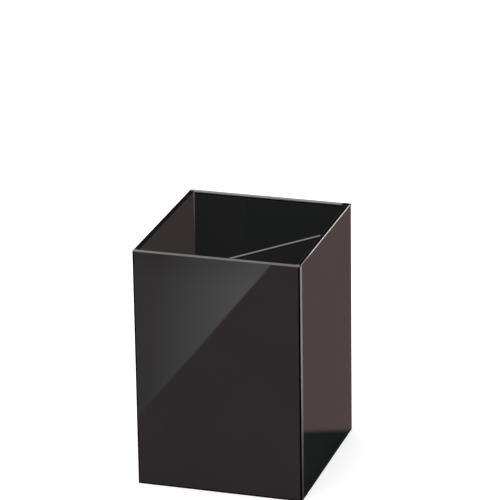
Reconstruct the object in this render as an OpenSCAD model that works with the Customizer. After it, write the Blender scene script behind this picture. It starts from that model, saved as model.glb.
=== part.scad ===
// Pen holder cup: an open-topped box of six acrylic sheets, cemented edge to face.
// The front and rear walls run the full width and cover the ends of the side walls.
// The floor is let in between the walls. A slanting divider cuts off the front right
// corner as a pocket, and stands flush with the rim.
// Frame: seen from the front, +X is right, +Y is to the rear and +Z is up.
// Origin: the centre of the footprint, on the surface that the cup stands on.

/* [Cup] */
// Width across the front, outside
cup_w = 69.85; // [60:0.05:100]
// Depth from front to rear, outside
cup_d = 76.2; // [60:0.05:100]
// Height over all
cup_h = 101.6; // [60:0.1:140]
// Thickness of the four walls
wall_t = 2; // [1.5:0.1:4]
// Thickness of the floor
floor_t = 2; // [1.5:0.1:6]

/* [Pocket] */
// Clear length of the pocket along the front wall
pocket_front = 26; // [18:0.5:40]
// Clear length of the pocket along the right wall
pocket_side = 32.4; // [18:0.1:40]
// Thickness of the divider
divider_t = 2; // [1:0.1:3]

/* [Polished edges] */
// Radius of the outer vertical corners
corner_r = 0.8; // [0.2:0.1:1.2]
// Radius of the rim and foot edges
rim_r = 0.4; // [0.1:0.05:0.45]

/* [Hidden] */
$fn = 32;

// How far a cutter reaches past the stock
over = 1;
// Clear width and depth between the walls
inner_w = cup_w - 2 * wall_t;
inner_d = cup_d - 2 * wall_t;

// The pocket's square corner, where the front and right walls meet inside
pocket_x = inner_w / 2;
pocket_y = -inner_d / 2;
// Length of the divider's pocket face, and its angle to the front wall
divider_run = norm([pocket_front, pocket_side]);
divider_angle = atan2(pocket_side, pocket_front);
// Where the divider's far face meets the front wall and the right wall
far_front = pocket_front + divider_t / sin(divider_angle);
far_side = pocket_side + divider_t / cos(divider_angle);

// Smoked, near-black acrylic, and the slightly greyer sheet of the divider
smoke = [0.17, 0.15, 0.16];
divider_smoke = [0.22, 0.21, 0.21];

// The waste that leaves a quarter round, for a corner of stock at [0, 0]
module corner_waste(r) {
    difference() {
        translate([-over, -over])
            square(r + over);
        translate([r, r])
            circle(r);
    }
}

// A rectangle with rounded corners: lower left, lower right, upper right, upper left.
// A radius of 0 leaves that corner square.
module eased_rect(w, h, radii) {
    corners = [[0, 0], [w, 0], [w, h], [0, h]];
    difference() {
        square([w, h]);
        for (i = [0:3])
            if (radii[i] > 0)
                translate(corners[i])
                    rotate(90 * i)
                        corner_waste(radii[i]);
    }
}

// Section of a wall: outer face at x = 0, with the outer foot and outer rim edges eased
module wall_section() {
    eased_rect(wall_t, cup_h, [rim_r, 0, 0, rim_r]);
}

// Waste along the inner rim edge of a wall whose inner face is at y = wall_t.
// It stops at the neighbouring walls, so the rim stays flush where they join.
module inner_rim_waste(span) {
    translate([-span / 2, wall_t, cup_h])
        rotate([90, 0, 90])
            linear_extrude(span)
                rotate(180)
                    corner_waste(rim_r);
}

// Front or rear wall: outer face at y = 0, standing on z = 0 and centred on x
module face_wall() {
    outer_plan = [corner_r, corner_r, 0, 0];
    outer_face = [rim_r, rim_r, rim_r, rim_r];
    difference() {
        intersection() {
            linear_extrude(cup_h)
                translate([-cup_w / 2, 0])
                    eased_rect(cup_w, wall_t, outer_plan);
            translate([-cup_w / 2, wall_t, 0])
                rotate([90, 0, 0])
                    linear_extrude(wall_t)
                        eased_rect(cup_w, cup_h, outer_face);
            translate([-cup_w / 2, 0, 0])
                rotate([90, 0, 90])
                    linear_extrude(cup_w)
                        wall_section();
        }
        inner_rim_waste(inner_w);
    }
}

// Side wall: outer face at y = 0, standing on z = 0 and centred on x
module side_wall() {
    difference() {
        translate([-inner_d / 2, 0, 0])
            rotate([90, 0, 90])
                linear_extrude(inner_d)
                    wall_section();
        inner_rim_waste(inner_d);
    }
}

module front_panel() {
    color(smoke)
        translate([0, -cup_d / 2, 0])
            face_wall();
}

module rear_panel() {
    color(smoke)
        translate([0, cup_d / 2, 0])
            rotate(180)
                face_wall();
}

module left_panel() {
    color(smoke)
        translate([-cup_w / 2, 0, 0])
            rotate(-90)
                side_wall();
}

module right_panel() {
    color(smoke)
        translate([cup_w / 2, 0, 0])
            rotate(90)
                side_wall();
}

module base_panel() {
    color(smoke)
        translate([-inner_w / 2, -inner_d / 2, 0])
            cube([inner_w, inner_d, floor_t]);
}

// Plan of the divider, mitred at both ends to lie flat on the walls
module divider_plan() {
    polygon([
        [pocket_x - pocket_front, pocket_y],
        [pocket_x, pocket_y + pocket_side],
        [pocket_x, pocket_y + far_side],
        [pocket_x - far_front, pocket_y]
    ]);
}

// Section of the divider, from the floor to the rim, with both rim edges eased
module divider_section() {
    eased_rect(divider_t, cup_h - floor_t, [0, 0, rim_r, rim_r]);
}

module divider_panel() {
    color(divider_smoke)
        translate([0, 0, floor_t])
            intersection() {
                linear_extrude(cup_h - floor_t)
                    divider_plan();
                translate([pocket_x - pocket_front, pocket_y, 0])
                    rotate(divider_angle)
                        translate([-divider_run / 2, 0, 0])
                            rotate([90, 0, 90])
                                linear_extrude(2 * divider_run)
                                    divider_section();
            }
}

front_panel();
rear_panel();
left_panel();
right_panel();
base_panel();
divider_panel();
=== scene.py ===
import math

import bmesh
import bpy
from mathutils import Matrix, Vector, noise


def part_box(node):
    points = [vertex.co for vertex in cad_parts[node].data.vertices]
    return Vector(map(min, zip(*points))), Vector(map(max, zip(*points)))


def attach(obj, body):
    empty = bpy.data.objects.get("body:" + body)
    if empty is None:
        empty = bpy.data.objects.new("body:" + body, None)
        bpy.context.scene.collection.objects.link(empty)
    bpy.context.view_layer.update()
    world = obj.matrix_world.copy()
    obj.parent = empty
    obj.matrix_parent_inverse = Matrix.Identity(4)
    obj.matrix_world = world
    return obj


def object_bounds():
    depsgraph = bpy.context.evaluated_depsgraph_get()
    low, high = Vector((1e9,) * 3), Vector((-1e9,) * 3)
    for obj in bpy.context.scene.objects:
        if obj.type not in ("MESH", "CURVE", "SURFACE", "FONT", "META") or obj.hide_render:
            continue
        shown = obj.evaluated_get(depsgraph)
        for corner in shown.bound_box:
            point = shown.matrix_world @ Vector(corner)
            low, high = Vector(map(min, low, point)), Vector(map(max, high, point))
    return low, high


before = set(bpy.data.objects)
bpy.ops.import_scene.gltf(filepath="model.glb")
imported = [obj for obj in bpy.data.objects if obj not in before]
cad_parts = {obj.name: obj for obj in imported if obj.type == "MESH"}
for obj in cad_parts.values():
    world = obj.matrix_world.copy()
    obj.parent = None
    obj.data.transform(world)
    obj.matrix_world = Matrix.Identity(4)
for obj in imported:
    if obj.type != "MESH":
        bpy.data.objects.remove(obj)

# Looks for the pen holder cup: polished smoked acrylic sheets, their finished edges with painted
# light and shade, the cement in the seams with a painted glow, and a small product studio whose
# reflections are painted on the floor. Metres, in the cup's own frame: +X is right, +Y is to the
# rear, and the cup stands on z = 0.

MM = 0.001
CAD_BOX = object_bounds()
LEFT, FRONT = CAD_BOX[0].x, CAD_BOX[0].y
RIGHT, REAR = CAD_BOX[1].x, CAD_BOX[1].y
RIM = CAD_BOX[1].z

# Inner faces of the walls and the top of the floor
IN_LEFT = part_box("left_panel")[1].x
IN_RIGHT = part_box("right_panel")[0].x
IN_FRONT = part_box("front_panel")[1].y
IN_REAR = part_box("rear_panel")[0].y
FLOOR_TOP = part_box("base_panel")[1].z

# ---------------------------------------------------------------- node helpers

X, Y, Z = 0, 1, 2


def rgb(red, green, blue):
    """An opaque colour."""
    return (red, green, blue, 1.0)


WHITE = rgb(1, 1, 1)
BLACK = rgb(0, 0, 0)


def fill(tree, socket, value):
    """Links value to a socket if it is a node's output, or sets it as the socket's value."""
    if isinstance(value, bpy.types.NodeSocket):
        tree.links.new(value, socket)
    else:
        socket.default_value = value


def add(tree, kind, inputs=None, **settings):
    """Adds a shader node, sets its properties, and fills its inputs."""
    made = tree.nodes.new(kind)
    for name, value in settings.items():
        setattr(made, name, value)
    for name, value in (inputs or {}).items():
        fill(tree, made.inputs[name], value)
    return made


def maths(tree, operation, a, b=0.0):
    """The output of a Math node."""
    return add(tree, "ShaderNodeMath", {0: a, 1: b}, operation=operation).outputs[0]


def both(tree, *masks):
    """The product of two or more masks."""
    product = masks[0]
    for mask in masks[1:]:
        product = maths(tree, "MULTIPLY", product, mask)
    return product


def ramp(tree, value, low, high, to_low=0.0, to_high=1.0, smooth=True):
    """Maps value from low..high to to_low..to_high, clamped and optionally smoothed."""
    kind = "SMOOTHSTEP" if smooth else "LINEAR"
    inputs = {
        "Value": value,
        "From Min": low,
        "From Max": high,
        "To Min": to_low,
        "To Max": to_high,
    }
    return add(tree, "ShaderNodeMapRange", inputs, interpolation_type=kind).outputs["Result"]


def between(tree, value, low, high, soft):
    """1 where value is between low and high, with a soft step at both ends."""
    rise = ramp(tree, value, low - soft, low + soft)
    fall = ramp(tree, value, high + soft, high - soft)
    return both(tree, rise, fall)


def blend(tree, factor, a, b):
    """A colour between a and b."""
    made = add(tree, "ShaderNodeMix", data_type="RGBA")
    # The node's inputs 0, 6 and 7 are its factor and its two colours, and output 2 is the mix
    for number, value in ((0, factor), (6, a), (7, b)):
        fill(tree, made.inputs[number], value)
    return made.outputs[2]


def scaled(tree, vector, factor):
    """A vector or a colour times a factor."""
    inputs = {0: vector, "Scale": factor}
    return add(tree, "ShaderNodeVectorMath", inputs, operation="SCALE").outputs[0]


def cloud(tree, where, scale, detail=2.0, stretch=(1, 1, 1)):
    """Noise between 0 and 1, at so many features a metre."""
    mapping = add(tree, "ShaderNodeMapping", {"Vector": where, "Scale": stretch})
    inputs = {"Vector": mapping.outputs[0], "Scale": scale, "Detail": detail}
    return add(tree, "ShaderNodeTexNoise", inputs).outputs["Fac"]


def split(tree, vector):
    """The x, y and z of a vector."""
    return add(tree, "ShaderNodeSeparateXYZ", {0: vector}).outputs


def normal(tree):
    """The x, y and z of the surface normal."""
    return split(tree, add(tree, "ShaderNodeNewGeometry").outputs["Normal"])


def new_material(name):
    """An empty node material, its tree, and the object coordinates."""
    made = bpy.data.materials.new(name)
    made.use_nodes = True
    tree = made.node_tree
    tree.nodes.clear()
    where = add(tree, "ShaderNodeTexCoord").outputs["Object"]
    return made, tree, where


def finish_material(tree, shader):
    """Makes a shader the material's surface."""
    add(tree, "ShaderNodeOutputMaterial", {"Surface": shader})


def patches(tree, where, pattern, absent=0.0, present=1.0, stretch=(1, 1, 1)):
    """A noise pattern, from the value absent where it is missing to present where it is full.

    The pattern has a scale in features a metre, a detail, and the noise levels at which it
    starts and is full.
    """
    strength = cloud(tree, where, pattern["scale"], pattern["detail"], stretch)
    return ramp(tree, strength, pattern["start"], pattern["full"], absent, present)


# ---------------------------------------------------------------- acrylic

# Body colour of the sheets, almost black with a cold cast, and the warmer front sheet, whose extra
# warmth is a painted part of the warm reflection on the front face
SMOKE = rgb(0.0158, 0.0184, 0.0178)
SMOKE_WARM = rgb(0.0169, 0.0142, 0.0155)
# Painted glow on the faces inside the cup, for the light that comes through the sheets
GLOW_COLD = rgb(0.0078, 0.0086, 0.0084)
GLOW_WARM = rgb(0.0322, 0.0255, 0.0230)
GLOW_BASE = rgb(0.004, 0.004, 0.004)
# Painted shade and painted dark reflections: black edges, corners and lines that mirror nothing,
# and the darker colour of the faces inside the cup
PAINTED_BLACK = rgb(0.0006, 0.0006, 0.0006)
PAINTED_NEAR_BLACK = rgb(0.0030, 0.0030, 0.0030)
PAINTED_DARK = rgb(0.0060, 0.0060, 0.0060)
# Painted highlight on the outer rim edge of the right sheet, and its dimmer front end
EDGE_LIT = rgb(0.48, 0.44, 0.41)
EDGE_HALF_LIT = rgb(0.22, 0.205, 0.195)
# Machined rims, from dark to light, and the sanded ends of the front sheet. Their grey is partly
# the satin finish and partly painted light, which makes the rear rim brighter than the front one
# and lights the pale band under it
RIM_GREY = rgb(0.042, 0.038, 0.038)
RIM_MID = rgb(0.060, 0.057, 0.057)
RIM_PALE = rgb(0.100, 0.096, 0.095)
RIM_BRIGHT = rgb(0.140, 0.138, 0.138)
RIM_LIT = rgb(0.200, 0.198, 0.198)
SANDED = rgb(0.285, 0.265, 0.262)
WORN = rgb(0.12, 0.12, 0.12)

ACRYLIC_IOR = 1.49
# Specular level of acrylic, and of an edge that is too dark to mirror anything
GLOSS, NO_GLOSS = 0.5, 0.0
# Roughness of the clean face, the machined rims, the rounded edges and the sanded ends
POLISHED, MACHINED, ROUNDED, ROUNDED_RIGHT, ROUGH_SANDED = 0.018, 0.10, 0.20, 0.25, 0.38
# How much smudges, hairlines and worn edges add to the roughness
SMUDGE_ROUGH, HAIRLINE_ROUGH, WEAR_ROUGH = 0.035, 0.06, 0.10
# How much brighter the haze is than the body colour, and how much colour a worn edge gets
HAZE_GAIN, WEAR_COLOUR = 1.15, 0.12

# Patterns of the faces: haze in the sheet, smudges, where it was dusted, and the hairlines
# that dusting left, with their two stretches and turns
HAZE = dict(scale=28, detail=3.0, start=0.30, full=0.70)
SMUDGES = dict(scale=42, detail=4.0, start=0.48, full=0.75)
DUSTED = dict(scale=55, detail=2.0, start=0.45, full=0.70)
HAIRLINES = dict(scale=2600, detail=1.0, start=0.70, full=0.78)
HAIRLINE_WAYS = (((1, 1, 0.02), 0.25), ((1, 1, 0.03), -0.4))
# Nicks along the edges, how wide a strip beside an edge can wear, and how closely the
# rounded and the true normal agree where wear starts and where it is full
NICKS = dict(scale=900, detail=3.0, start=0.56, full=0.70)
WEAR_REACH = 0.5 * MM
WEAR_STARTS, WEAR_FULL = 0.995, 0.93
# Grain of the sanded ends, how much it changes their tone, and the heights between which
# their painted light turns from dim to light
GRAIN = dict(scale=1500, detail=2.0, start=0.20, full=0.80)
GRAIN_SPREAD = 0.12
SANDED_DIM, DIM_BELOW, LIGHT_ABOVE = 0.20, 0.08 * RIM, 0.62 * RIM
# The slow ripple of the faces, and the bump that it and the hairlines give
RIPPLE_SCALE = 70
HAIRLINE_HEIGHT, BUMP_STRENGTH, BUMP_HEIGHT = 0.05, 0.02, 0.05 * MM

# Parts of the surface normal between which a finish starts and is full: upward on a flat
# top, sideways on a sheet's end, and sideways on the outside of a side sheet
FLAT_TOP = (0.96, 0.995)
END_FACE = (0.83, 0.91)
OUTER_FACE = (0.90, 0.98)
# The same for a face or an edge that turns to one side
FACING_LOW, FACING_HIGH = 0.05, 0.20
# Parts of the normal that bound a rounded edge, and half the width of the step there:
# upward on a rim edge, and sideways on an upright corner
RIM_ROUND_LOW, RIM_ROUND_HIGH, RIM_ROUND_SOFT = 0.12, 0.975, 0.02
CORNER_LOW, CORNER_HIGH, CORNER_SOFT = 0.06, 0.87, 0.04

# Half the width of the step from one finish to the next
SOFT = 0.03 * MM
# Heights at which the finish of the inside faces starts and is full
INSIDE_STARTS, INSIDE_FULL = RIM - 0.2 * MM, RIM - 0.45 * MM
# Heights below and above which a face is no part of the rim, and is fully part of it
RIM_STARTS, RIM_FULL = RIM - 0.45 * MM, RIM - 0.35 * MM
# Heights up to which the painted shadow along the foot is fully black, and from which it is gone
FOOT_BLACK, FOOT_CLEAR = 0.60 * MM, 0.85 * MM
# The upward normal at which the inner rim edge of a side sheet turns fully painted black
BLACK_BELOW = 0.85
# On the rear sheet's inner face: the foot of the painted highlight band and of the painted dark
# line under it
BAND_FOOT = RIM - 0.57 * MM
LINE_FOOT = RIM - 1.05 * MM
# Between these places across the cup, painted shade turns the rear rim dark towards the right
DARK_STARTS, DARK_FULL = RIGHT - 4.5 * MM, RIGHT - 3 * MM
# The part of the front rim with painted light, from the left
LIT_END = 14 * MM
# Places between which the painted light strip beside the front sheet's ends fades out to the rear
SEAM_FULL, SEAM_ENDS = IN_FRONT + 0.40 * MM, IN_FRONT + 0.70 * MM
# Where the painted highlight on the right sheet's rim edge is dim, and from where on it is full
DIM_UNTIL, LIGHT_FROM = FRONT + 8 * MM, FRONT + 20 * MM


def inside_cup(tree, where):
    """1 on the faces inside the cup, 0 on the outside and on the rim."""
    x, y, z = split(tree, where)
    across = between(tree, x, IN_LEFT - SOFT, IN_RIGHT + SOFT, SOFT / 2)
    along = between(tree, y, IN_FRONT - SOFT, IN_REAR + SOFT, SOFT / 2)
    below = ramp(tree, z, INSIDE_STARTS, INSIDE_FULL)
    return both(tree, across, along, below)


def top_face(tree):
    """1 on the flat top of a sheet."""
    return ramp(tree, normal(tree)[Z], *FLAT_TOP)


def arris(tree, axis, side, low=RIM_ROUND_LOW, high=RIM_ROUND_HIGH):
    """1 on a sheet's rounded rim edge that faces along axis on one side, which is +1 or -1.

    low and high are the upward parts of the normal where the finish starts and ends.
    """
    parts = normal(tree)
    sideways = maths(tree, "MULTIPLY", parts[axis], side)
    facing = ramp(tree, sideways, FACING_LOW, FACING_HIGH)
    return both(tree, between(tree, parts[Z], low, high, RIM_ROUND_SOFT), facing)


def near_rim(tree, z):
    """1 on the rim and its rounded edges."""
    return ramp(tree, z, RIM_STARTS, RIM_FULL)


def foot_edge(tree, where):
    """1 along the lower edge of a wall, where it stands in its own shadow."""
    return ramp(tree, split(tree, where)[Z], FOOT_CLEAR, FOOT_BLACK)


def upright_corner(tree):
    """1 on a rounded vertical corner, from the broad face to where the sheet's end shows."""
    sideways = maths(tree, "ABSOLUTE", normal(tree)[X])
    return between(tree, sideways, CORNER_LOW, CORNER_HIGH, CORNER_SOFT)


def sheet_end(tree):
    """1 on the ends of a front or rear sheet, which show on the sides of the cup."""
    return ramp(tree, maths(tree, "ABSOLUTE", normal(tree)[X]), *END_FACE)


def scratches(tree, where):
    """Fine hairlines from dusting, in two directions, 0 to 1."""
    lines = []
    for stretch, tilt in HAIRLINE_WAYS:
        turned = add(tree, "ShaderNodeMapping", {"Vector": where, "Rotation": (tilt, tilt, 0)})
        lines.append(patches(tree, turned.outputs[0], HAIRLINES, stretch=stretch))
    return both(tree, maths(tree, "MAXIMUM", *lines), patches(tree, where, DUSTED))


def edge_wear(tree, where):
    """1 along edges, broken up into small nicks, and 0 on open faces."""
    rounded = add(tree, "ShaderNodeBevel", {"Radius": WEAR_REACH}, samples=4).outputs[0]
    true = add(tree, "ShaderNodeNewGeometry").outputs["Normal"]
    dot = add(tree, "ShaderNodeVectorMath", {0: rounded, 1: true}, operation="DOT_PRODUCT")
    edge = ramp(tree, dot.outputs["Value"], WEAR_STARTS, WEAR_FULL)
    return both(tree, edge, patches(tree, where, NICKS))


def polished_sheet(name, body=SMOKE):
    """A new material, and the look of the open faces of a sheet, before any finish."""
    made, tree, where = new_material(name)
    hazy = rgb(*[part * HAZE_GAIN for part in body[:3]])
    smudged = maths(tree, "MULTIPLY", patches(tree, where, SMUDGES), SMUDGE_ROUGH)
    look = {
        "colour": blend(tree, patches(tree, where, HAZE), body, hazy),
        "rough": maths(tree, "ADD", POLISHED, smudged),
        "gloss": GLOSS,
        "glow": BLACK,
    }
    return made, tree, where, look


def coat(tree, look, mask, **finish):
    """Lays a finish over the part of a look that mask marks; many of these finishes are painted
    light and shade.
    """
    for name, value in finish.items():
        if name in ("colour", "glow"):
            look[name] = blend(tree, mask, look[name], value)
        else:
            look[name] = ramp(tree, mask, 0, 1, look[name], value, smooth=False)


def blacken(tree, look, mask, colour=PAINTED_BLACK):
    """Lays a painted black mark that mirrors nothing and has no glow: painted shade along the
    foot, under the rear rim and at its right end, and painted dark reflections on corners and rim
    edges.
    """
    coat(tree, look, mask, colour=colour, gloss=NO_GLOSS, glow=BLACK)


def shade(tree, where, look):
    """Adds hairlines, worn edges and a slow ripple to a look, and makes it the shader."""
    hairlines = scratches(tree, where)
    wear = edge_wear(tree, where)
    rough = maths(tree, "ADD", look["rough"], maths(tree, "MULTIPLY", hairlines, HAIRLINE_ROUGH))
    ripple = cloud(tree, where, RIPPLE_SCALE, 1.0)
    height = maths(tree, "ADD", ripple, maths(tree, "MULTIPLY", hairlines, HAIRLINE_HEIGHT))
    relief = {"Height": height, "Strength": BUMP_STRENGTH, "Distance": BUMP_HEIGHT}
    bump = add(tree, "ShaderNodeBump", relief)
    worn_part = maths(tree, "MULTIPLY", wear, WEAR_COLOUR)
    inputs = {
        "Base Color": blend(tree, worn_part, look["colour"], WORN),
        "Roughness": maths(tree, "ADD", rough, maths(tree, "MULTIPLY", wear, WEAR_ROUGH)),
        "IOR": ACRYLIC_IOR,
        "Specular IOR Level": look["gloss"],
        "Emission Color": look["glow"],
        "Emission Strength": 1.0,
        "Normal": bump.outputs[0],
    }
    finish_material(tree, add(tree, "ShaderNodeBsdfPrincipled", inputs).outputs[0])


def sanded_end(tree, where):
    """Sanded acrylic: grey and grainy, with painted light that makes it lighter higher up, where
    light enters the sheet.
    """
    z = split(tree, where)[Z]
    light = ramp(tree, z, DIM_BELOW, LIGHT_ABOVE, SANDED_DIM, 1.0, smooth=False)
    grain = patches(tree, where, GRAIN, 1 - GRAIN_SPREAD, 1 + GRAIN_SPREAD)
    return scaled(tree, SANDED[:3], maths(tree, "MULTIPLY", light, grain))


def front_sheet():
    """The front sheet: a grey rim with painted light at its left end, a paler rim edge that is a
    painted highlight, black corners that are painted dark reflections, pale sanded ends with
    painted light, and a painted shadow along the foot.
    """
    made, tree, where, look = polished_sheet("smoked_acrylic_front_sheet", SMOKE_WARM)
    coat(tree, look, inside_cup(tree, where), glow=GLOW_COLD, colour=PAINTED_DARK)
    # Painted light on the front rim's left end, and a painted highlight on its rounded edge
    lit_end = ramp(tree, split(tree, where)[X], LEFT + LIT_END, LEFT)
    rim = blend(tree, lit_end, RIM_GREY, RIM_PALE)
    coat(tree, look, top_face(tree), colour=rim, rough=MACHINED)
    coat(tree, look, arris(tree, Y, -1, low=0.45), colour=RIM_PALE, rough=ROUNDED)
    # Painted dark reflections on the upright corners, painted light on the sanded ends, and a
    # painted shadow along the foot
    blacken(tree, look, upright_corner(tree))
    coat(tree, look, sheet_end(tree), colour=sanded_end(tree, where), rough=ROUGH_SANDED)
    blacken(tree, look, foot_edge(tree, where))
    shade(tree, where, look)
    return made


def rear_sheet():
    """The rear sheet: a rim painted bright, with painted shade at its right end, and inside a
    painted highlight band with a painted dark line under it.
    """
    made, tree, where, look = polished_sheet("smoked_acrylic_rear_sheet")
    coat(tree, look, inside_cup(tree, where), glow=GLOW_COLD, colour=PAINTED_DARK)
    x, _, z = split(tree, where)
    # A painted highlight band under the rim inside, a painted dark line under it, and painted
    # shade at the rim's right end
    facing_in = ramp(tree, normal(tree)[Y], -FACING_LOW, -FACING_HIGH)
    pale_band = both(tree, facing_in, ramp(tree, z, BAND_FOOT - SOFT, BAND_FOOT + SOFT))
    dark_line = both(tree, facing_in, between(tree, z, LINE_FOOT, BAND_FOOT, SOFT))
    dark_end = ramp(tree, x, DARK_STARTS, DARK_FULL)
    coat(tree, look, top_face(tree), colour=RIM_BRIGHT, rough=MACHINED)
    coat(tree, look, arris(tree, Y, 1, low=0.05), colour=RIM_BRIGHT, gloss=NO_GLOSS)
    coat(tree, look, pale_band, colour=RIM_LIT, rough=MACHINED, glow=BLACK)
    blacken(tree, look, dark_line)
    blacken(tree, look, both(tree, dark_end, near_rim(tree, z)))
    blacken(tree, look, upright_corner(tree))
    blacken(tree, look, foot_edge(tree, where))
    shade(tree, where, look)
    return made


def painted_highlight_rim_edge(tree, where, look, side):
    """Painted highlight on the outer rim edge of the right sheet, dimmer towards the front."""
    clear = ramp(tree, split(tree, where)[Y], DIM_UNTIL, LIGHT_FROM)
    colour = blend(tree, clear, EDGE_HALF_LIT, EDGE_LIT)
    gloss = maths(tree, "MULTIPLY", clear, GLOSS)
    edge = arris(tree, X, side, low=0.30, high=0.93)
    coat(tree, look, edge, colour=colour, gloss=gloss, rough=ROUNDED_RIGHT)


def side_sheet(name, inward):
    """A side sheet: a rim painted dark, a browner inner face from a painted glow, and a painted
    light strip beside the front sheet.

    inward is +1 for the left sheet, whose outer rim edge is painted black, and -1 for the right
    sheet, whose outer rim edge has a painted highlight.
    """
    made, tree, where, look = polished_sheet(name)
    coat(tree, look, inside_cup(tree, where), glow=GLOW_WARM, colour=PAINTED_DARK)
    # The rim is painted dark with no gloss, and its rounded edges are painted black
    coat(tree, look, top_face(tree), colour=PAINTED_DARK, gloss=NO_GLOSS)
    blacken(tree, look, arris(tree, X, inward, low=BLACK_BELOW), PAINTED_NEAR_BLACK)
    blacken(tree, look, arris(tree, X, inward, high=BLACK_BELOW))
    # A painted light strip on the outer face beside the front sheet's end
    seam = ramp(tree, split(tree, where)[Y], SEAM_ENDS, SEAM_FULL)
    outside = ramp(tree, maths(tree, "MULTIPLY", normal(tree)[X], -inward), *OUTER_FACE)
    coat(tree, look, both(tree, seam, outside), colour=sanded_end(tree, where), rough=ROUGH_SANDED)
    blacken(tree, look, foot_edge(tree, where))
    if inward > 0:
        blacken(tree, look, arris(tree, X, -inward))
    else:
        painted_highlight_rim_edge(tree, where, look, -inward)
    shade(tree, where, look)
    return made


def inner_sheet(name, glow):
    """The floor or the divider: a grey top with painted black edges, and a painted glow inside the
    cup.
    """
    made, tree, where, look = polished_sheet(name)
    coat(tree, look, inside_cup(tree, where), glow=glow, colour=PAINTED_DARK)
    coat(tree, look, top_face(tree), colour=RIM_MID, rough=MACHINED)
    for side in (-1, 1):
        coat(tree, look, arris(tree, Y, side), colour=PAINTED_BLACK, gloss=NO_GLOSS)
    shade(tree, where, look)
    return made


def paint(node, material):
    """Puts one material on every slot of a CAD node."""
    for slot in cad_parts[node].material_slots:
        slot.material = material


paint("front_panel", front_sheet())
paint("rear_panel", rear_sheet())
paint("left_panel", side_sheet("smoked_acrylic_left_sheet", 1))
paint("right_panel", side_sheet("smoked_acrylic_right_sheet", -1))
paint("base_panel", inner_sheet("smoked_acrylic_base_sheet", GLOW_BASE))
paint("divider_panel", inner_sheet("smoked_acrylic_divider_sheet", GLOW_COLD))

# ---------------------------------------------------------------- cement beads

# How far a bead reaches along each sheet, how much that varies, and how many swells a metre
BEAD_LEG = 0.32 * MM
BEAD_UNEVEN = 0.22
BEAD_SWELLS = 90
# How far a bead sinks into the seam, and how hollow it is
BEAD_SINK = 0.05 * MM
BEAD_HOLLOW = 0.18
# The beads end below the rounded rim edges
BEAD_TOP = RIM - 0.6 * MM
BEAD_STEP = 2.5 * MM
BEAD_ARC = 6
BUBBLES = dict(scale=1800, detail=2.0, start=0.60, full=0.75)
BUBBLE_STRENGTH, BUBBLE_HEIGHT = 0.2, 0.1 * MM
CEMENT_DARK, CEMENT_LIGHT = rgb(0.03, 0.03, 0.03), rgb(0.08, 0.078, 0.075)
CEMENT_ROUGH = 0.3
# Painted glow in the cement: how far down from the rim it reaches, and its strength there and at
# the rim
LIT_DEPTH = 26 * MM
GLOW_DEEP, GLOW_RIM = 0.010, 0.075
# How near a corner of the divider is to a wall to count as on it
TOUCHING = 0.01 * MM
PLUS_X, PLUS_Y, UP = Vector((1, 0, 0)), Vector((0, 1, 0)), Vector((0, 0, 1))


def cement():
    """Dried cement along the seams: a satin bead with tiny bubbles, and a painted glow that grows
    towards the rim.
    """
    made, tree, where = new_material("dried_cement_bead")
    bubbles = patches(tree, where, BUBBLES)
    # A painted glow, stronger towards the rim
    light = ramp(tree, split(tree, where)[Z], RIM - LIT_DEPTH, RIM, GLOW_DEEP, GLOW_RIM)
    relief = {"Height": bubbles, "Strength": BUBBLE_STRENGTH, "Distance": BUBBLE_HEIGHT}
    bump = add(tree, "ShaderNodeBump", relief)
    inputs = {
        "Base Color": blend(tree, bubbles, CEMENT_DARK, CEMENT_LIGHT),
        "Roughness": CEMENT_ROUGH,
        "IOR": ACRYLIC_IOR,
        "Emission Color": scaled(tree, WHITE[:3], light),
        "Emission Strength": 1.0,
        "Normal": bump.outputs[0],
    }
    finish_material(tree, add(tree, "ShaderNodeBsdfPrincipled", inputs).outputs[0])
    return made


def bead_section(leg, first, second):
    """Plan points of a hollow fillet between two sheets that run along first and second."""
    a, b = first * leg, second * leg
    control = (a + b) * BEAD_HOLLOW
    points = [-(first + second) * BEAD_SINK]
    for i in range(BEAD_ARC + 1):
        t = i / BEAD_ARC
        points.append(a * (1 - t) ** 2 + control * (2 * t * (1 - t)) + b * t**2)
    return points


def add_bead(mesh, start, end, first, second):
    """Adds a closed bead from start to end in a corner between two sheets."""
    count = max(2, round((end - start).length / BEAD_STEP))
    rings = []
    for i in range(count + 1):
        centre = start.lerp(end, i / count)
        leg = BEAD_LEG * (1 + BEAD_UNEVEN * noise.noise(centre * BEAD_SWELLS))
        rings.append([mesh.verts.new(centre + p) for p in bead_section(leg, first, second)])
    size = len(rings[0])
    for low, high in zip(rings, rings[1:]):
        for i in range(size):
            j = (i + 1) % size
            mesh.faces.new((low[i], low[j], high[j], high[i]))
    mesh.faces.new(rings[0])
    mesh.faces.new(rings[-1])


def bead_piece(name, beads, material):
    """One piece from a list of (start, end, first, second) beads."""
    mesh = bmesh.new()
    for start, end, first, second in beads:
        add_bead(mesh, start, end, first, second)
    bmesh.ops.recalc_face_normals(mesh, faces=mesh.faces)
    data = bpy.data.meshes.new(name)
    mesh.to_mesh(data)
    mesh.free()
    data.shade_smooth()
    data.materials.append(material)
    made = bpy.data.objects.new(name, data)
    bpy.context.scene.collection.objects.link(made)
    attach(made, "root")


def upright(x, y, first, second):
    """A bead up a vertical seam at x, y."""
    return Vector((x, y, FLOOR_TOP)), Vector((x, y, BEAD_TOP)), first, second


def level(x0, y0, x1, y1, inward):
    """A bead along the floor, with the cup's inside on the side of inward."""
    return Vector((x0, y0, FLOOR_TOP)), Vector((x1, y1, FLOOR_TOP)), inward, UP


def divider_ends():
    """Where the divider meets the front wall (x) and the right wall (y), near and far.

    The near ends are on the side of the pocket, and the far ends on the other.
    """
    points = [v.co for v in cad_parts["divider_panel"].data.vertices]
    on_front = [p.x for p in points if p.y < IN_FRONT + TOUCHING]
    on_right = [p.y for p in points if p.x > IN_RIGHT - TOUCHING]
    return max(on_front), min(on_front), min(on_right), max(on_right)


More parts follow.
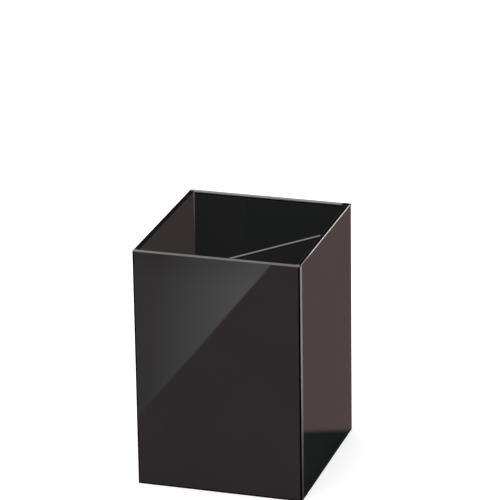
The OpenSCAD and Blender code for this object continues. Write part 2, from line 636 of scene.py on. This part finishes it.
def make_beads():
    """Cement in the four wall seams, in the divider's four seams and around the floor."""
    front_near, front_far, right_near, right_far = divider_ends()
    along = Vector((IN_RIGHT - front_near, right_near - IN_FRONT, 0)).normalized()
    to_pocket = Vector((along.y, -along.x, 0))
    walls = [
        upright(IN_LEFT, IN_REAR, PLUS_X, -PLUS_Y),
        upright(IN_RIGHT, IN_REAR, -PLUS_X, -PLUS_Y),
        upright(IN_LEFT, IN_FRONT, PLUS_X, PLUS_Y),
        upright(IN_RIGHT, IN_FRONT, -PLUS_X, PLUS_Y),
    ]
    divider = [
        upright(front_near, IN_FRONT, PLUS_X, along),
        upright(front_far, IN_FRONT, -PLUS_X, along),
        upright(IN_RIGHT, right_near, -PLUS_Y, -along),
        upright(IN_RIGHT, right_far, PLUS_Y, -along),
    ]
    floor = [
        level(IN_LEFT, IN_REAR, IN_RIGHT, IN_REAR, -PLUS_Y),
        level(IN_LEFT, IN_FRONT, IN_LEFT, IN_REAR, PLUS_X),
        level(IN_LEFT, IN_FRONT, front_far, IN_FRONT, PLUS_Y),
        level(IN_RIGHT, right_far, IN_RIGHT, IN_REAR, -PLUS_X),
        level(front_far, IN_FRONT, IN_RIGHT, right_far, -to_pocket),
        level(front_near, IN_FRONT, IN_RIGHT, IN_FRONT, PLUS_Y),
        level(IN_RIGHT, IN_FRONT, IN_RIGHT, right_near, -PLUS_X),
        level(front_near, IN_FRONT, IN_RIGHT, right_near, to_pocket),
    ]
    material = cement()
    bead_piece("wall_seam_cement", walls, material)
    bead_piece("divider_seam_cement", divider, material)
    bead_piece("floor_seam_cement", floor, material)


make_beads()

# ---------------------------------------------------------------- studio

# Painted reflections, which the floor shows to mirror rays only: a warm grey studio, black patches
# beside the cup, and a softbox panel at the front left whose light grows towards its right edge.
# No cards or panel stand in the scene
MIRROR_FRONT = rgb(0.275, 0.208, 0.225)
MIRROR_RIGHT = rgb(0.237, 0.162, 0.155)
# The line that parts the painted studio's front from its rear: its slope, place and soft width
PART_SLOPE = 0.34
PART_LINE = REAR - 1.2 * MM
PART_BLUR = 3.5 * MM
# Where the painted dark reflection on the right starts and is full, and the soft width of the
# edges of the one on the left
DARK_REFLECTION_STARTS, DARK_REFLECTION_FULL = RIGHT - 0.8 * MM, RIGHT + 0.2 * MM
MIRROR_EDGE_BLUR = 2 * MM
# The painted panel highlight: its right edge with its slope and soft width, the slant of its
# light, where it grows, and its far end
PANEL_EDGE, PANEL_LEAN, PANEL_BLUR = LEFT - 22.7 * MM, 0.0139, 1.5 * MM
PANEL_SLANT = 0.304
PANEL_FROM, PANEL_TO = LEFT + 13 * MM, LEFT + 66 * MM
PANEL_DIM, PANEL_BRIGHT = 0.42, 1.62
PANEL_FAR, PANEL_NEAR, PANEL_FAR_LIGHT = FRONT - 2.5 * RIM, FRONT - 2.1 * RIM, 0.72
PANEL_CAST = (0.965, 0.997, 0.985)
# Half the side of the floor, its tone and how many patches of it lie in a metre, and the
# glow that keeps it near white by the cup
FLOOR_HALF = 20.0
FLOOR_PATCHES = 3.0
FLOOR_DARK, FLOOR_LIGHT = rgb(0.88, 0.88, 0.88), rgb(0.91, 0.91, 0.91)
TABLE_GLOW = 0.40
# Lights: place or direction, size and power
WORLD_LIGHT = 0.9
OVERHEAD_PLACE, OVERHEAD_SIZE, OVERHEAD_POWER = (-0.5, -0.3, 1.6), (1.4, 1.4), 8.0
STRIP_WAY, STRIP_DISTANCE = Vector((0.343, 0.899, 0.273)), 1.5
STRIP_SIZE, STRIP_POWER = (0.10, 0.5), 2.6


def behind_cup(tree, x, y):
    """1 behind a slightly slanting line near the rear of the cup."""
    slant = maths(tree, "MULTIPLY", maths(tree, "SUBTRACT", x, RIGHT), PART_SLOPE)
    place = maths(tree, "ADD", y, slant)
    return ramp(tree, place, PART_LINE - PART_BLUR, PART_LINE + PART_BLUR)


def before_cup(tree, y):
    """1 in front of the cup."""
    return ramp(tree, y, FRONT, FRONT - MIRROR_EDGE_BLUR)


def opposite(tree, mask):
    """1 where a mask is 0."""
    return maths(tree, "SUBTRACT", 1.0, mask)


def painted_dark_reflection(tree, x, y):
    """1 where painted dark reflections lie beside the cup, on the right and on the left; no cards
    stand there.
    """
    right = ramp(tree, x, DARK_REFLECTION_STARTS, DARK_REFLECTION_FULL)
    left = ramp(tree, x, LEFT, LEFT - MIRROR_EDGE_BLUR)
    right = both(tree, right, opposite(tree, behind_cup(tree, x, y)))
    left = both(tree, left, opposite(tree, before_cup(tree, y)))
    return maths(tree, "MAXIMUM", right, left)


def painted_panel_highlight(tree, x, y):
    """Brightness of the painted panel highlight: it grows to the right and fades at the far end.
    """
    across = maths(tree, "SUBTRACT", x, maths(tree, "MULTIPLY", y, PANEL_SLANT))
    glow = ramp(tree, across, PANEL_FROM, PANEL_TO, PANEL_DIM, PANEL_BRIGHT, smooth=False)
    fade = ramp(tree, y, PANEL_FAR, PANEL_NEAR, PANEL_FAR_LIGHT, 1.0)
    return maths(tree, "MULTIPLY", glow, fade)


def painted_reflections(tree):
    """The painted reflections: the emission colour that mirror rays find on the floor."""
    x, y, _ = split(tree, add(tree, "ShaderNodeNewGeometry").outputs["Position"])
    studio = blend(tree, behind_cup(tree, x, y), MIRROR_FRONT, MIRROR_RIGHT)
    panel = scaled(tree, PANEL_CAST, painted_panel_highlight(tree, x, y))
    leaning = maths(tree, "ADD", x, maths(tree, "MULTIPLY", y, PANEL_LEAN))
    at_panel = ramp(tree, leaning, PANEL_EDGE, PANEL_EDGE - PANEL_BLUR)
    studio = blend(tree, both(tree, at_panel, before_cup(tree, y)), studio, panel)
    return blend(tree, painted_dark_reflection(tree, x, y), studio, BLACK)


def mix_shader(tree, factor, first, second):
    """A shader between first and second."""
    return add(tree, "ShaderNodeMixShader", {0: factor, 1: first, 2: second}).outputs[0]


def floor_material():
    """A pale glowing table to the camera, pale card to soft light, and painted reflections of a
    studio to mirrors.
    """
    made, tree, where = new_material("pale_studio_floor")
    tone = blend(tree, cloud(tree, where, FLOOR_PATCHES), FLOOR_DARK, FLOOR_LIGHT)
    card = add(tree, "ShaderNodeBsdfDiffuse", {"Color": tone}).outputs[0]
    glow = add(tree, "ShaderNodeEmission", {"Color": WHITE, "Strength": TABLE_GLOW}).outputs[0]
    table = add(tree, "ShaderNodeAddShader", {0: card, 1: glow}).outputs[0]
    mirrored = add(tree, "ShaderNodeEmission", {"Color": painted_reflections(tree)}).outputs[0]
    path = add(tree, "ShaderNodeLightPath").outputs
    seen = mix_shader(tree, path["Is Camera Ray"], card, table)
    # Mirror rays see the painted reflections instead of the floor
    finish_material(tree, mix_shader(tree, path["Is Glossy Ray"], seen, mirrored))
    return made


def make_floor():
    """The plain pale floor."""
    data = bpy.data.meshes.new("studio_floor")
    h = FLOOR_HALF
    data.from_pydata([(-h, -h, 0), (h, -h, 0), (h, h, 0), (-h, h, 0)], [], [(0, 1, 2, 3)])
    data.materials.append(floor_material())
    made = bpy.data.objects.new("studio_floor", data)
    bpy.context.scene.collection.objects.link(made)


def area_light(name, place, size, power, aim):
    """A rectangular softbox at place, pointed at aim."""
    data = bpy.data.lights.new(name, "AREA")
    data.shape = "RECTANGLE"
    data.size, data.size_y = size
    data.energy = power
    made = bpy.data.objects.new(name, data)
    bpy.context.scene.collection.objects.link(made)
    made.location = place
    made.rotation_euler = (aim - Vector(place)).to_track_quat("-Z", "Y").to_euler()
    return made


def make_world():
    """Even white light from all around."""
    world = bpy.data.worlds.new("studio_world")
    world.use_nodes = True
    background = world.node_tree.nodes["Background"]
    background.inputs["Color"].default_value = WHITE
    background.inputs["Strength"].default_value = WORLD_LIGHT
    bpy.context.scene.world = world


def make_lights():
    """A large overhead softbox, and a thin strip light behind on the right for the rims."""
    middle = Vector((0, 0, RIM / 2))
    area_light("overhead_softbox", OVERHEAD_PLACE, OVERHEAD_SIZE, OVERHEAD_POWER, middle)
    strip_place = middle + STRIP_WAY * STRIP_DISTANCE
    strip = area_light("rim_strip", strip_place, STRIP_SIZE, STRIP_POWER, middle)
    strip.visible_camera = False


# The camera looks down at the cup from the front right, from far off with a long lens.
# It aims near the rim, which leaves room above the cup for tall pens.
CAMERA_AZIMUTH = math.radians(17.3)
CAMERA_ELEVATION = math.radians(20.6)
CAMERA_ROLL = math.radians(-0.87)
CAMERA_DISTANCE = 1.379
CAMERA_LENS = 241.8
CAMERA_AIM = Vector((-1.1, 11.9, 87.0)) * MM
CAMERA_NEAREST, CAMERA_FARTHEST = 0.05, 50.0


def make_camera():
    """The camera at the angle above."""
    az, el = CAMERA_AZIMUTH, CAMERA_ELEVATION
    look = Vector((-math.sin(az) * math.cos(el), math.cos(az) * math.cos(el), -math.sin(el)))
    right = Vector((math.cos(az), math.sin(az), 0))
    up = right.cross(look)
    turn = Matrix((right, up, -look)).transposed() @ Matrix.Rotation(CAMERA_ROLL, 3, "Z")
    data = bpy.data.cameras.new("camera")
    data.lens = CAMERA_LENS
    data.clip_start, data.clip_end = CAMERA_NEAREST, CAMERA_FARTHEST
    made = bpy.data.objects.new("camera", data)
    bpy.context.scene.collection.objects.link(made)
    made.matrix_world = turn.to_4x4()
    made.location = CAMERA_AIM - look * CAMERA_DISTANCE
    bpy.context.scene.camera = made


make_floor()
make_world()
make_lights()
make_camera()
bpy.context.scene.view_settings.view_transform = "Standard"
